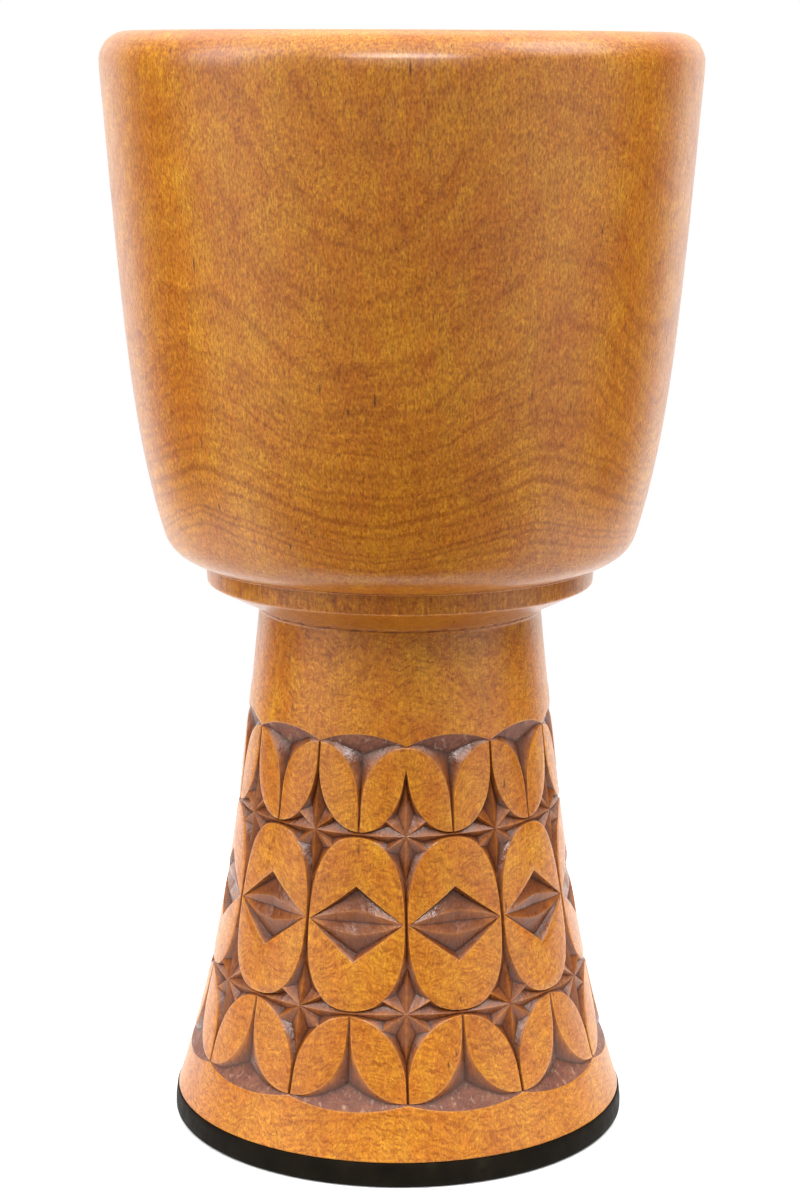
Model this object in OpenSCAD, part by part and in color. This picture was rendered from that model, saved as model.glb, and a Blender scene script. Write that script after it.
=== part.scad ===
// Djembe shell: a goblet drum body turned and carved from one log, standing on a rubber ring.
// Millimetres. +Z is up. The origin is the centre of the base, on the surface that it stands on.

/* [Overall] */
// Height from the floor to the top of the rim
overall_h = 600; // [560:5:660]
// Height of the wood's lower edge, which is also the height of the rubber ring
foot_ring_h = 13.4; // [10:0.2:18]

/* [Bowl] */
// Outside diameter at the widest place, just under the rim
rim_d = 322; // [300:2:350]
// Radius of the rounded outer edge of the rim
rim_round = 16; // [8:0.5:16]
// Radius of the rounded inner edge of the rim
rim_inner_round = 3; // [1:0.5:3.5]
// Height where the bowl's side turns in to its floor
shoulder_h = 334; // [328:1:345]
// How much the side tapers in a straight line from the rim to the shoulder
bowl_taper = 19.4; // [14:0.2:26]
// How much more the side curves in near the shoulder
bowl_curve = 11.7; // [5:0.1:14]
// Wall thickness under the rim
rim_wall = 20; // [20:0.5:23]
// Wall thickness at the shoulder
shoulder_wall = 24; // [20:0.5:28]

/* [Collar] */
// Diameter of the turned collar under the bowl
collar_d = 214.4; // [210:0.2:220]
// Height of the collar's upper edge
collar_top_h = 316.4; // [313:0.2:318]
// Height of the collar's lower edge
collar_low_h = 304.8; // [302:0.2:308]
// Height where the collar's sloping underside meets the neck
neck_top_h = 291; // [286:0.5:294]

/* [Neck and foot] */
// Diameter at the top of the neck
neck_d = 155.8; // [150:0.2:164]
// Diameter of the wood at the lower edge of the foot
foot_d = 251; // [240:1:264]
// How much the foot widens in a straight line, on the radius
foot_taper = 28.2; // [20:0.2:34]
// Exponent of the flare that makes up the rest of the widening
flare_power = 3.2; // [2:0.1:4]
// Bore of the throat, at its narrowest
throat_d = 112; // [96:1:120]
// Diameter of the hollow at the lower edge of the foot
foot_hollow_d = 214; // [206:1:218]

/* [Rubber ring] */
// How far the ring's outside stands out beyond the wood's lower edge
ring_proud = 1.4; // [0.6:0.1:3]
// Radius of the ring's lower outer edge
ring_round = 3; // [1:0.5:4]

/* [Tacks] */
// Number of tacks that hold the ring on from below
tack_count = 10; // [6:2:16]
// Diameter of a tack's head
tack_head_d = 8; // [6:0.5:10]
// Diameter of a tack's shank
tack_shank_d = 2.4; // [2:0.1:3]
// Length of a tack from the underside of its head to its tip
tack_length = 26; // [20:1:32]

/* [Hidden] */
wood_colour = [0.78, 0.46, 0.13];
rubber_colour = [0.09, 0.085, 0.075];
steel_colour = [0.6, 0.6, 0.6];

// Steps along each curved stretch of an outline
side_steps = 20;
arc_steps = 8;
circle_facets = 96;
overcut = 1;

rim_r = rim_d / 2;
rim_side_h = overall_h - rim_round;
collar_r = collar_d / 2;
neck_r = neck_d / 2;
foot_r = foot_d / 2;
throat_r = throat_d / 2;
foot_hollow_r = foot_hollow_d / 2;

// The bowl's floor slopes down to a thin lip that stands out past the collar
lip_out = 4.8;
lip_h = collar_top_h + 1;
lip_round = 0.7;
collar_bevel = 0.6;
collar_low_inset = 0.8;
neck_cove = 3;
bowl_power = 4.8;

// The hollow: the bowl's inside turns in to the throat well above the collar
hollow_shoulder_h = shoulder_h + 22;
throat_top_h = collar_low_h + 2;
throat_low_h = neck_top_h - 16;
foot_hollow_taper = 30;
foot_hollow_power = 3;
foot_arris = 1;

tack_circle_r = (foot_r + foot_hollow_r) / 2;
tack_head_h = 1.6;
tack_head_recess = 1.2;
tack_head_gap = 0.4;
tack_point_h = 5;

function reversed(points) = [for (i = [len(points) - 1 : -1 : 0]) points[i]];

// Points of an arc about (r, z), from angle a to angle b
function arc(r, z, radius, a, b) =
    [for (i = [0 : arc_steps]) let (t = a + (b - a) * i / arc_steps) [r + radius * cos(t), z + radius * sin(t)]];

// One point, and then the whole, of a cubic curve with two handles
function curve_point(p, t) =
    pow(1 - t, 3) * p[0] + 3 * pow(1 - t, 2) * t * p[1] + 3 * (1 - t) * t * t * p[2] + pow(t, 3) * p[3];
function curve(p) = [for (i = [0 : 2 * arc_steps]) curve_point(p, i / (2 * arc_steps))];

// Outside radius of the bowl's side at height z
function bowl_r(z) =
    let (u = (rim_side_h - z) / (rim_side_h - shoulder_h)) rim_r - bowl_taper * u - bowl_curve * pow(u, bowl_power);

// Inside radius of the bowl's side at height z
function bowl_hollow_r(z) =
    let (u = (rim_side_h - z) / (rim_side_h - shoulder_h)) bowl_r(z) - rim_wall - (shoulder_wall - rim_wall) * u;

// Outside radius of the neck and foot at height z
function foot_side_r(z) =
    let (t = (neck_top_h - z) / (neck_top_h - foot_ring_h))
    neck_r + foot_taper * t + (foot_r - neck_r - foot_taper) * pow(t, flare_power);

// Inside radius of the foot at height z
function foot_hollow_side_r(z) =
    let (t = (throat_low_h - z) / (throat_low_h - foot_ring_h))
    throat_r + foot_hollow_taper * t + (foot_hollow_r - throat_r - foot_hollow_taper) * pow(t, foot_hollow_power);

// Evenly spaced heights from a down to b
function heights(a, b) = [for (i = [0 : side_steps]) a + (b - a) * i / side_steps];

// Where the cove's upper end meets the collar's sloping underside
function cove_top() =
    let (low = [collar_r - collar_low_inset - collar_bevel, collar_low_h], inner = [neck_r, neck_top_h])
    inner + neck_cove * (low - inner) / norm(low - inner);

function foot_outline() = concat(
    [for (z = reversed(heights(neck_top_h - neck_cove, foot_ring_h + foot_arris))) [foot_side_r(z), z]],
    [0.5 * [neck_r, neck_top_h] + 0.25 * [foot_side_r(neck_top_h - neck_cove), neck_top_h - neck_cove]
        + 0.25 * cove_top()],
    [cove_top()]
);

function collar_outline() = concat(
    [[collar_r - collar_low_inset - collar_bevel, collar_low_h]],
    [[collar_r - collar_low_inset, collar_low_h + collar_bevel]],
    [[collar_r, collar_top_h]],
    arc(collar_r + lip_out - lip_round, collar_top_h + lip_round, lip_round, -90, 20)
);

function shoulder_outline() = curve([
    [collar_r + lip_out, lip_h],
    [collar_r + lip_out + 13, lip_h + 4.2],
    [bowl_r(shoulder_h) - 1.8, shoulder_h - 5.8],
    [bowl_r(shoulder_h), shoulder_h]
]);

function side_outline() = [for (z = reversed(heights(rim_side_h, shoulder_h + 2))) [bowl_r(z), z]];

function rim_outline() = concat(
    arc(rim_r - rim_round, rim_side_h, rim_round, 8, 90),
    arc(bowl_hollow_r(rim_side_h) + rim_inner_round, overall_h - rim_inner_round, rim_inner_round, 90, 180)
);

function hollow_outline() = concat(
    [for (z = heights(rim_side_h - overcut, hollow_shoulder_h + 2)) [bowl_hollow_r(z), z]],
    curve([
        [bowl_hollow_r(hollow_shoulder_h), hollow_shoulder_h],
        [bowl_hollow_r(hollow_shoulder_h) - 8, hollow_shoulder_h - 28],
        [throat_r + 14, throat_top_h + 20],
        [throat_r, throat_top_h]
    ]),
    [for (z = heights(throat_low_h, foot_ring_h + foot_arris)) [foot_hollow_side_r(z), z]]
);

module shell_body() {
    rotate_extrude($fn = circle_facets)
        polygon(concat(
            [[foot_hollow_r, foot_ring_h], [foot_r - foot_arris, foot_ring_h]],
            foot_outline(),
            collar_outline(),
            shoulder_outline(),
            side_outline(),
            rim_outline(),
            hollow_outline()
        ));
}

// Repeats its children once for each tack, round the foot
module at_each_tack() {
    for (i = [0 : tack_count - 1])
        rotate([0, 0, (i + 0.5) * 360 / tack_count])
            translate([tack_circle_r, 0, 0])
                children();
}

// The part of a tack that is driven into the wood
module tack_shank() {
    translate([0, 0, tack_head_recess + tack_head_h])
        cylinder(h = tack_length - tack_point_h, d = tack_shank_d, $fn = 24);
    translate([0, 0, tack_head_recess + tack_head_h + tack_length - tack_point_h])
        cylinder(h = tack_point_h, d1 = tack_shank_d, d2 = 0.4, $fn = 24);
}

module shell() {
    color(wood_colour)
        difference() {
            shell_body();
            at_each_tack() tack_shank();
        }
}

module foot_rubber_ring() {
    ring_r = foot_r + ring_proud;
    color(rubber_colour)
        difference() {
            rotate_extrude($fn = circle_facets)
                polygon(concat(
                    [[foot_hollow_r, foot_ring_h], [foot_hollow_r, 0]],
                    arc(ring_r - ring_round, ring_round, ring_round, -90, 0),
                    [[ring_r, foot_ring_h / 2], [foot_r + 0.2, foot_ring_h]]
                ));
            at_each_tack() {
                translate([0, 0, -overcut])
                    cylinder(h = tack_head_recess + tack_head_h + overcut, d = tack_head_d + tack_head_gap, $fn = 32);
                cylinder(h = foot_ring_h + overcut, d = tack_shank_d, $fn = 24);
            }
        }
}

module ring_tacks() {
    color(steel_colour)
        at_each_tack() {
            translate([0, 0, tack_head_recess])
                cylinder(h = tack_head_h, d = tack_head_d, $fn = 32);
            tack_shank();
        }
}

shell();
foot_rubber_ring();
ring_tacks();
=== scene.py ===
"""Looks of the djembe shell: one carved wooden goblet on a black rubber ring.

The wood is one mesh: plain turned stretches, and a band of chip carving round the foot that is made facet by
facet. Outlines are in millimetres, in the part's own frame, and become metres when a mesh is made.
"""

import math

import bmesh
import bpy
from mathutils import Matrix, Vector, noise


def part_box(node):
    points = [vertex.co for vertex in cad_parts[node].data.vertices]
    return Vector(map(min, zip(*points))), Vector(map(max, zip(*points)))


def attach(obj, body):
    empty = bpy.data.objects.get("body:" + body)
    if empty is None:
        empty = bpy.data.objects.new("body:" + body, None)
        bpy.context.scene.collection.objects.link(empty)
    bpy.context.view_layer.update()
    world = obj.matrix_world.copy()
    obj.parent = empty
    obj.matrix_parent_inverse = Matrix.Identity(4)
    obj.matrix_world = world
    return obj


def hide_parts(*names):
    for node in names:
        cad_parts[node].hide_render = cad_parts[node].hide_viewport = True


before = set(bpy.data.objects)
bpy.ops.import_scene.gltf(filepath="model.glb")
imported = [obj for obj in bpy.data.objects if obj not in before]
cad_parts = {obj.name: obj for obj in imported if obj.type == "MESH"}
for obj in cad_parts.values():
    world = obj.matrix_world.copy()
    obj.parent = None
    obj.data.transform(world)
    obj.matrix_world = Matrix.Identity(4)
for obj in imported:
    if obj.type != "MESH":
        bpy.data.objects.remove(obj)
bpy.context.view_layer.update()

MM = 0.001

# ---------------------------------------- sizes, from the frame and the design

shell_low, shell_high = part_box("shell")
ring_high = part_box("foot_rubber_ring")[1]
TOP = shell_high.z / MM
FOOT_RING_H = shell_low.z / MM
RIM_R = shell_high.x / MM
RING_R = ring_high.x / MM

# The bowl
RIM_ROUND = 16.0
RIM_INNER_ROUND = 3.0
RIM_SIDE = TOP - RIM_ROUND
SHOULDER = 334.0
BOWL_TAPER = 19.4
BOWL_CURVE = 11.7
BOWL_POWER = 4.8
RIM_WALL = 20.0
SHOULDER_WALL = 24.0

# The collar, and the lip of the bowl's floor over it
COLLAR_R = 107.2
COLLAR_TOP = 316.4
COLLAR_LOW = 304.8
COLLAR_BEVEL = 0.6
COLLAR_INSET = 0.8
LIP_H = COLLAR_TOP + 1
LIP_OUT = 4.8
LIP_ROUND = 0.7

# The neck and foot
NECK_TOP = 291.0
NECK_R = 77.9
NECK_COVE = 3.0
FOOT_R = 125.5
FOOT_TAPER = 28.2
FLARE_POWER = 3.2
FOOT_ARRIS = 1.0

# The hollow
THROAT_R = 56.0
THROAT_TOP = COLLAR_LOW + 2
THROAT_LOW = NECK_TOP - 16
HOLLOW_SHOULDER = SHOULDER + 22
FOOT_HOLLOW_R = 107.0
FOOT_HOLLOW_TAPER = 30.0
FOOT_HOLLOW_POWER = 3.0

# The rubber ring and its tacks
RING_ROUND = 3.0
TACKS = 10
TACK_CIRCLE_R = (FOOT_R + FOOT_HOLLOW_R) / 2
TACK_RECESS = 1.2
TACK_HEAD_R = 4.0
TACK_HEAD_H = 1.6
TACK_GAP = 0.2
TACK_SHANK_R = 1.2
TACK_LENGTH = 26.0
TACK_POINT = 5.0

# The tent's brightness: walls from the front (0) round to the back (1), roof from level (0) to overhead (1)
TENT_WALLS = (
    (0.0, 0.167),
    (0.14, 0.81),
    (0.27, 1.31),
    (0.42, 1.11),
    (0.56, 0.0),
    (0.72, 0.1),
    (0.78, 0.4),
    (0.88, 1.75),
    (1.0, 1.35),
)
TENT_ROOF = ((0.0, 0.0), (0.3, 0.0), (0.45, 0.425), (0.6, 1.7), (0.8, 3.26), (1.0, 2.0))
TENT_FULL = 4.0
LEFT_POWER = 10.9
RIGHT_POWER = 11.1
TOP_POWER = 9.0

# The carved band: repeats round the foot, and the angle of the star nearest the front
REPEATS = 11
HALF = 180.0 / REPEATS
PHASE = 2.4
BAND_MID = 135.4
BAND_TOP = 241.0
BAND_LOW = 33.0
COLUMNS = 12


def bowl_r(z):
    """Outside radius of the bowl's side at height z."""
    u = max(0.0, (RIM_SIDE - z) / (RIM_SIDE - SHOULDER))
    return RIM_R - BOWL_TAPER * u - BOWL_CURVE * u**BOWL_POWER


def bowl_hollow_r(z):
    """Inside radius of the bowl's side at height z."""
    u = (RIM_SIDE - z) / (RIM_SIDE - SHOULDER)
    return bowl_r(z) - RIM_WALL - (SHOULDER_WALL - RIM_WALL) * u


def foot_side_r(z):
    """Outside radius of the neck and foot at height z."""
    t = max(0.0, (NECK_TOP - z) / (NECK_TOP - FOOT_RING_H))
    return NECK_R + FOOT_TAPER * t + (FOOT_R - NECK_R - FOOT_TAPER) * t**FLARE_POWER


def foot_hollow_side_r(z):
    """Inside radius of the foot at height z."""
    t = (THROAT_LOW - z) / (THROAT_LOW - FOOT_RING_H)
    flare = FOOT_HOLLOW_R - THROAT_R - FOOT_HOLLOW_TAPER
    return THROAT_R + FOOT_HOLLOW_TAPER * t + flare * t**FOOT_HOLLOW_POWER


# ---------------------------------------- curves in the profile


def arc(r, z, radius, start, end, steps):
    """Points of an arc about (r, z), from one angle in degrees to another."""
    turns = [math.radians(start + (end - start) * i / steps) for i in range(steps + 1)]
    return [(r + radius * math.cos(t), z + radius * math.sin(t)) for t in turns]


def cubic(a, b, c, d, steps):
    """Points of a cubic curve from a to d with handles b and c."""
    points = []
    for i in range(steps + 1):
        t = i / steps
        weights = ((1 - t) ** 3, 3 * (1 - t) ** 2 * t, 3 * (1 - t) * t * t, t**3)
        points.append(tuple(sum(w * p[k] for w, p in zip(weights, (a, b, c, d))) for k in (0, 1)))
    return points


def side(radius_at, start, end, steps):
    """Points of a side whose radius is a function of height."""
    heights = [start + (end - start) * i / steps for i in range(steps + 1)]
    return [(radius_at(z), z) for z in heights]


# ---------------------------------------- mesh building


class Builder:
    """Collects faces, each with the number of its material, and points with their marks.

    The marks are depth below the turned surface (the cut materials darken with it, partly by staining and
    partly as painted shade), edge (how rubbed an arris is; the materials paint it paler, partly as rubbing
    and partly as a painted highlight), valley (how near the bottom of a cut, where the materials paint
    shade), and inside (how far into the hollow).
    """

    def __init__(self):
        self.points = []
        self.marks = []
        self.faces = []
        self.finishes = []

    def add(self, co, depth=0.0, edge=0.0, valley=0.0, inside=0.0):
        self.points.append(co)
        self.marks.append((depth, edge, valley, inside))
        return len(self.points) - 1

    def face(self, corners, finish=0):
        self.faces.append(corners)
        self.finishes.append(finish)

    def grid(self, rows, finish=0, closed=False):
        """Joins rows of vertex numbers into quads."""
        for low, high in zip(rows, rows[1:]):
            n = len(low)
            for i in range(n if closed else n - 1):
                j = (i + 1) % n
                self.face((low[i], low[j], high[j], high[i]), finish)


def around(radius, turn, z):
    """A point in metres at an angle in degrees from the front (-Y), positive towards +X."""
    t = math.radians(turn)
    return Vector((radius * math.sin(t), -radius * math.cos(t), z)) * MM


# ---------------------------------------- the carved band

# One half of a repeat runs from a star's axis (angle 0) to an oval's axis (angle HALF). A point is
# (angle, height from the band's middle, depth below the turned surface).

GROOVE = 0.6
LEAF_SPLIT = 0.4
EDGE_DROP = 0.14
# The rubbed arris beside an outline, in mm, and a ridge's share of the edge mark: a paler edge, partly
# rubbing and partly a painted highlight
WORN_AND_LIT_EDGE = 0.7
RIDGE_WEAR_AND_HIGHLIGHT = 0.55
MM_PER_DEGREE = 1.6

OVAL_HALF_W = HALF - GROOVE
OVAL_HALF_H = 45.3
OVAL_POWER = 2.4
STAR_Z = 46.8
LEAF_LOW = 48.3

RIDGE_DEPTH = 0.8
STAR_VALLEY = 3.7
STRIP_VALLEY = 1.7
STRIP_HALF = 0.8
GROOVE_DEPTH = 1.5
TIP_DEPTH = 2.3
CHIP_DEPTH = 4.4
DIAGONAL_A = 7.0
RAY_BEND = 1.35

# A star's deepest points, in its lower quarters beside an oval and its upper quarters beside a leaf
OVAL_DEEP_V = (2.8, STAR_Z - 9.6, STAR_VALLEY)
OVAL_DEEP_H = (6.3, STAR_Z - 3.9, STAR_VALLEY)
LEAF_DEEP_V = (3.0, STAR_Z + 11.3, STAR_VALLEY)
LEAF_DEEP_H = (6.4, STAR_Z + 4.6, STAR_VALLEY)
OVAL_TIP = STAR_Z - 25

LOZENGE_HALF_H = 20.0
LOZENGE_FLOOR = 3.4
LOZENGE_DEPTH = 4.8
LIP_Z = 6.2
LIP_DEPTH = 1.9
EYE_DEPTH = 3.9
CORNER_GAP = 0.25
CORNER_DEPTH = 0.3
LIP_CORNER_DEPTH = 0.25

# Round the knot, where two leaves and two chips meet over a star
LEAF_UNDER_KNOT = 0.5
VALLEY_UNDER_KNOT = 0.2
BORDER_OVER_KNOT = 0.25
KNOT_GROOVE = 0.45
KNOT_DEPTH = 0.5
BUMP_W = 9.0
SPLIT_DEPTH = 0.9
LEAF_TURN = 48.0

# The unevenness of work done by hand: degrees, mm, and a share of the depth
HAND_TURN = 0.42
HAND_RISE = 0.75
HAND_DEPTH = 0.22
HAND_FINE = 0.1
HAND_SEED = 7

# Steps along the stretches that patches share
N_CENTRE = 4
N_TIP = 6
N_DIAGONAL = 4
N_STRIP = 6
N_GROOVE = 6

UPPER = {
    "sign": 1,
    "knot": 94.6,
    "border_rise": 5.65,
    "junction": 88.7,
    "valley_bump": 0.9,
    "leaf_in_z": 61.9,
    "leaf_in_w": 15.65,
    "leaf_out_z": 83.2,
    "leaf_out_w": 15.8,
    "tip": 77.3,
}
LOWER = {
    "sign": -1,
    "knot": 93.0,
    "border_rise": 4.15,
    "junction": 83.8,
    "valley_bump": 0.2,
    "leaf_in_z": 56.5,
    "leaf_in_w": 15.75,
    "leaf_out_z": 83.9,
    "leaf_out_w": 15.85,
    "tip": 73.3,
}


def mix(p, q, t):
    """The point a share t of the way from p to q."""
    return tuple(a + (b - a) * t for a, b in zip(p, q))


def surface_length(p, q):
    """About how far it is from p to q along the foot, in mm."""
    return math.hypot((q[0] - p[0]) * MM_PER_DEGREE, q[1] - p[1])


def line(p, q, n, bend=1.0):
    """n + 1 points from p to q. A bend over 1 crowds the angle's change towards the start."""
    points = []
    for i in range(n + 1):
        s = i / n
        a, z, d = mix(p, q, s)
        if bend != 1.0:
            a = q[0] + (p[0] - q[0]) * (1 - s) ** bend
        points.append((a, z, d))
    return points


def joined(*stretches):
    """Stretches end to end, each sharing its first point with the last one's end."""
    points = list(stretches[0])
    for stretch in stretches[1:]:
        points += stretch[1:]
    return points


def oval_at(z):
    """Angle of the oval's outline at a height from the band's middle."""
    return HALF - OVAL_HALF_W * (1 - min(1.0, abs(z) / OVAL_HALF_H) ** OVAL_POWER) ** (1 / OVAL_POWER)


def oval_height(a):
    """Height of the oval's outline at an angle."""
    return OVAL_HALF_H * (1 - min(1.0, (HALF - a) / OVAL_HALF_W) ** OVAL_POWER) ** (1 / OVAL_POWER)


def leaf_out_height(band, a):
    """Height of a leaf's outer edge, next to the star, at an angle."""
    rise = band["leaf_out_z"] - LEAF_LOW
    return band["leaf_out_z"] - rise * math.sqrt(max(0.0, 1 - ((HALF - a) / band["leaf_out_w"]) ** 2))


def leaf_out_at(band, z):
    """Angle of a leaf's outer edge at a height."""
    rise = band["leaf_out_z"] - LEAF_LOW
    u = min(1.0, max(0.0, (band["leaf_out_z"] - z) / rise))
    return HALF - band["leaf_out_w"] * math.sqrt(1 - u * u)


def by_angle(height_at, start, end, n):
    """n + 1 points of an outline, at even steps of angle."""
    angles = [start + (end - start) * i / n for i in range(n + 1)]
    return [(a, height_at(a), EDGE_DROP) for a in angles]


def by_height(angle_at, start, end, n):
    """n + 1 points of an outline, at even steps of height."""
    return [(a, z, EDGE_DROP) for a, z in side(angle_at, start, end, n)]


def star_sector(height_at, angle_at, deep_v, deep_h, tip_z, strip_end_depth):
    """A star's quarter: two chips that share a diagonal ridge.

    height_at and angle_at give the outline that closes the quarter. deep_v and deep_h are the chips' deepest
    points, beside the upright ray and beside the level one. Returns the patches and the whole outline, from
    the strip's end to the upright ray's tip.
    """
    centre = (0.0, STAR_Z, RIDGE_DEPTH)
    diagonal = (DIAGONAL_A, height_at(DIAGONAL_A), EDGE_DROP)
    tip = (0.0, tip_z, TIP_DEPTH)
    away = 1 if tip_z > STAR_Z else -1
    near_end = HALF - LEAF_SPLIT
    strip_height = STAR_Z + away * STRIP_HALF

    # Valleys, from the deep points
    v_centre = line(centre, deep_v, N_CENTRE)
    v_tip = line(deep_v, tip, N_TIP, bend=RAY_BEND)
    v_diagonal = line(deep_v, diagonal, N_DIAGONAL)
    h_centre = line(centre, deep_h, N_CENTRE)
    h_diagonal = line(deep_h, diagonal, N_DIAGONAL)
    h_strip = []
    for i in range(N_STRIP + 1):
        s = i / N_STRIP
        fall = (1 - s) ** 1.5
        z = strip_height + (deep_h[1] - strip_height) * fall
        depth = STRIP_VALLEY + (deep_h[2] - STRIP_VALLEY) * fall
        h_strip.append((deep_h[0] + (near_end - deep_h[0]) * s, z, depth))
    h_strip.append((HALF, strip_height, STRIP_VALLEY))

    # Outlines, from the strip's end to the diagonal's tip, and on to the upright ray's tip
    outline_h = by_angle(height_at, near_end, DIAGONAL_A, N_STRIP + N_DIAGONAL)
    outline_h[-1] = diagonal
    outline_h = [(HALF, height_at(HALF), strip_end_depth)] + outline_h
    outline_v = by_height(angle_at, diagonal[1], tip_z, N_DIAGONAL + N_TIP)
    outline_v[0] = diagonal

    # Ridges, at the same angles or heights as the valleys beside them
    v_path = joined(v_centre, v_tip)
    h_path = joined(h_centre, h_strip)
    up_ridge = []
    for _, z, _ in v_path:
        s = abs(z - STAR_Z) / abs(tip_z - STAR_Z)
        up_ridge.append((0.0, z, RIDGE_DEPTH + (TIP_DEPTH - RIDGE_DEPTH) * s**3))
    level_ridge = [(a, STAR_Z, RIDGE_DEPTH) for a, _, _ in h_path]
    diagonal_ridge = line(centre, diagonal, N_CENTRE + N_DIAGONAL)

    patches = [
        ("facet", up_ridge, v_path),
        ("facet", diagonal_ridge, joined(v_centre, v_diagonal)),
        ("facet", diagonal_ridge, joined(h_centre, h_diagonal)),
        ("facet", level_ridge, h_path),
        ("wall", outline_v, joined(v_diagonal[::-1], v_tip)),
        ("wall", outline_h, joined(h_strip[::-1], h_diagonal)),
    ]
    return patches, joined(outline_h, outline_v)


def oval_half():
    """The half of an oval above the band's middle, with its share of the star and of the lozenge."""
    patches, outline = star_sector(oval_height, oval_at, OVAL_DEEP_V, OVAL_DEEP_H, OVAL_TIP, EDGE_DROP)
    groove_edge = by_height(oval_at, OVAL_TIP, 0.0, N_GROOVE)
    groove_bed = line((0.0, OVAL_TIP, TIP_DEPTH), (0.0, 0.0, GROOVE_DEPTH), N_GROOVE)
    patches.append(("wall", groove_edge, groove_bed))
    outline = joined(outline, groove_edge)

    # The lozenge, from its upper corner to its side corner
    corner = GROOVE + CORNER_GAP
    lengths = [0.0]
    for p, q in zip(outline, outline[1:]):
        lengths.append(lengths[-1] + surface_length(p, q))
    shares = [s / lengths[-1] for s in lengths]
    edge, floor, lip, eye = [], [], [], []
    for share in shares:
        s = 1 - share
        a = corner + (HALF - corner) * s
        edge.append((a, LOZENGE_HALF_H * s, EDGE_DROP))
        sunk = s**0.9
        floor_z = (LOZENGE_HALF_H - LOZENGE_FLOOR) * s
        floor.append((a, floor_z, CORNER_DEPTH + (LOZENGE_DEPTH - CORNER_DEPTH) * sunk))
        lip_depth = LIP_CORNER_DEPTH + (LIP_DEPTH - LIP_CORNER_DEPTH) * s
        lip.append((a, LIP_Z * s * (1.6 - 0.6 * s), lip_depth))
        eye.append((a, 0.0, CORNER_DEPTH + (EYE_DEPTH - CORNER_DEPTH) * sunk))
    patches.append(("top", outline, edge))
    patches.append(("wall", edge, floor))
    patches.append(("facet", lip, floor))
    patches.append(("facet", lip, eye))
    return patches


def leaf_half(band, closed_tip):
    """A leaf, its share of the star, and the three-sided chip beyond it. closed_tip joins it to its twin."""
    knot = band["knot"]
    patches, outline = star_sector(
        lambda a: leaf_out_height(band, a),
        lambda z: leaf_out_at(band, z),
        LEAF_DEEP_V,
        LEAF_DEEP_H,
        band["tip"],
        SPLIT_DEPTH,
    )
    groove_edge = []
    groove_bed = []
    top = knot - LEAF_UNDER_KNOT
    for i in range(N_GROOVE + 1):
        s = i / N_GROOVE
        z = band["tip"] + (top - band["tip"]) * s
        shut = min(1.0, 2.6 * s) if closed_tip else 0.0
        a = leaf_out_at(band, z)
        a = a + (KNOT_GROOVE - a) * s
        groove_edge.append((a * (1 - shut), z, EDGE_DROP * (1 - shut)))
        bed = TIP_DEPTH + (GROOVE_DEPTH - TIP_DEPTH) * min(1.0, 2 * s)
        groove_bed.append((0.0, z, bed * (1 - shut)))
    patches.append(("wall", groove_edge, groove_bed))
    outline = joined(outline, groove_edge)[1:]

    # The leaf's inner edge, from the knot round to the split between two leaves
    n_leaf = len(outline) - 1
    n_far = n_leaf - COLUMNS
    rise = top - band["leaf_in_z"]
    turn_at = math.radians(LEAF_TURN)
    inner = []
    for i in range(COLUMNS + 1):
        t = turn_at * i / COLUMNS
        a = outline[-1][0] * (1 - i / COLUMNS) + band["leaf_in_w"] * math.sin(t)
        inner.append((a, band["leaf_in_z"] + rise * math.cos(t), EDGE_DROP))
    inner[0] = outline[-1]
    n_turn = n_far // 2
    for i in range(1, n_turn + 1):
        t = turn_at + (math.pi / 2 - turn_at) * i / n_turn
        a = band["leaf_in_w"] * math.sin(t)
        inner.append((a, band["leaf_in_z"] + rise * math.cos(t), EDGE_DROP))
    inner += line(inner[-1], outline[0], n_far - n_turn)[1:]
    patches.append(("top", inner, outline[::-1]))

    # The chip's valley: over the leaf from the knot to the junction, then down between the leaves
    valley = []
    border = []
    crest = knot - VALLEY_UNDER_KNOT
    border_low = knot + BORDER_OVER_KNOT
    for i in range(COLUMNS + 1):
        a = HALF * i / COLUMNS
        s = max(0.0, (a - BUMP_W / 2) / (HALF - BUMP_W / 2))
        bump = band["valley_bump"] * math.sin(math.pi * min(1.0, a / BUMP_W))
        z = crest + bump - (crest - band["junction"]) * s**1.5
        valley.append((a, z, KNOT_DEPTH + (CHIP_DEPTH - KNOT_DEPTH) * (a / HALF) ** 1.15))
        border.append((a, border_low + band["border_rise"] * (1 - ((HALF - a) / HALF) ** 2), EDGE_DROP))
    bed = []
    for i in range(n_far + 1):
        s = i / n_far
        z = band["junction"] + (LEAF_LOW - band["junction"]) * s
        bed.append((HALF, z, SPLIT_DEPTH + (CHIP_DEPTH - SPLIT_DEPTH) * (1 - s) ** 2))
    patches.append(("wall", inner, joined(valley, bed)))
    patches.append(("chip", border, valley))
    limit = BAND_TOP - BAND_MID if band["sign"] > 0 else BAND_MID - BAND_LOW
    patches.append(("top", [(a, limit, 0.0) for a, _, _ in border], border))
    return patches


# Which of the shell's materials each kind of patch has: polished wood, stained cuts, or rough end grain
POLISHED, STAINED, ROUGH = 0, 1, 2
FINISHES = {"top": POLISHED, "wall": STAINED, "facet": STAINED, "chip": ROUGH}

# Points down a patch: (share of the way across, share of the depth)
WALL_ROWS = ((0.0, 0.0), (0.1, 0.05), (0.4, 0.45), (0.76, 0.82), (1.0, 1.0))
FACET_ROWS = ((0.0, 0.0), (0.25, 0.27), (0.72, 0.76), (1.0, 1.0))
TOP_STEPS = 5


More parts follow.
